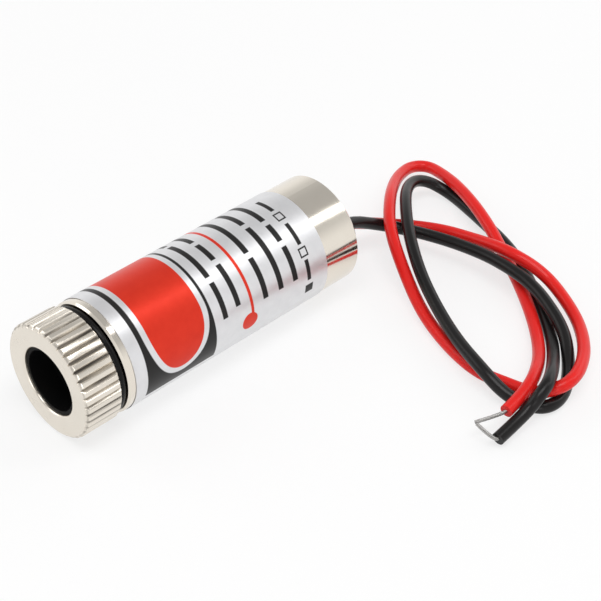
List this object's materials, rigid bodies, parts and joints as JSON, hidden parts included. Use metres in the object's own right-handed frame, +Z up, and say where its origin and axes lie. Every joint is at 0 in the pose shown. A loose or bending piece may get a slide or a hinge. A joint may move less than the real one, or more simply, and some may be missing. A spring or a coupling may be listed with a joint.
{
  "type": "laser diode module",
  "caption": "Cylindrical laser diode module with a knurled focusing head, a wrapped foil label and two free wire leads with bare ends.",
  "frame": {"origin": "on the surface that the module lies on, under the middle of its length", "axes": "+Z up; Y along the optical axis, with the beam leaving towards -Y and the leads towards +Y"},
  "size_m": [0.0399, 0.0613, 0.0122],
  "materials": {
    "nickel_plate": "bright nickel plate on turned brass, with fine turning marks",
    "label_foil": "silver foil label with printed black and red fields",
    "black_rubber": "smooth black rubber",
    "black_plastic": "matt black moulding",
    "lens_glass": "clear polished glass",
    "spring_steel": "drawn spring wire",
    "bare_brass": "turned brass",
    "gilt_metal": "gold-plated can and pins",
    "board_laminate": "green lacquered laminate",
    "chip_ceramic": "fired chip ceramic with tinned ends",
    "tinned_metal": "tinned copper and solder",
    "black_potting": "cast black potting compound",
    "red_insulation": "smooth red insulation",
    "black_insulation": "smooth black insulation"
  },
  "bodies": {
    "housing": {"barrel": "nickel_plate", "foil_label": "label_foil", "diode_holder": "bare_brass", "diode_stem": "gilt_metal", "diode_cap": "gilt_metal", "diode_window": "lens_glass", "diode_chip": "gilt_metal", "diode_pins": "gilt_metal", "pin_seals": "lens_glass", "driver_board": "board_laminate", "driver_transistors": "black_plastic", "driver_resistors": "chip_ceramic", "driver_capacitor": "chip_ceramic", "solder_joints": "tinned_metal", "lead_roots": "tinned_metal", "rear_plug": "black_potting", "red_lead": "red_insulation", "black_lead": "black_insulation", "red_lead_tip": "tinned_metal", "black_lead_tip": "tinned_metal"},
    "focus_carriage": {"focus_spring": "spring_steel"},
    "focus_assembly": {"focus_head": "nickel_plate", "focus_o_ring": "black_rubber", "lens_cell": "black_plastic", "collimating_lens": "lens_glass", "lens_retaining_ring": "black_plastic"}
  },
  "joints": [
    {"name": "focus_travel", "type": "slide", "parent": "housing", "child": "focus_carriage", "axis": [0, -1, 0], "range_m": [0, 0.002], "deforming": ["focus_spring"]},
    {"name": "focus_turn", "type": "hinge", "parent": "focus_carriage", "child": "focus_assembly", "pos_m": [0, -0.0159, 0.0061], "axis": [0, -1, 0], "range_deg": [0, 1440]}
  ],
  "couplings": [
    {"joint": "focus_travel", "follows": "focus_turn", "m_per_rad": 0.00007957}
  ]
}
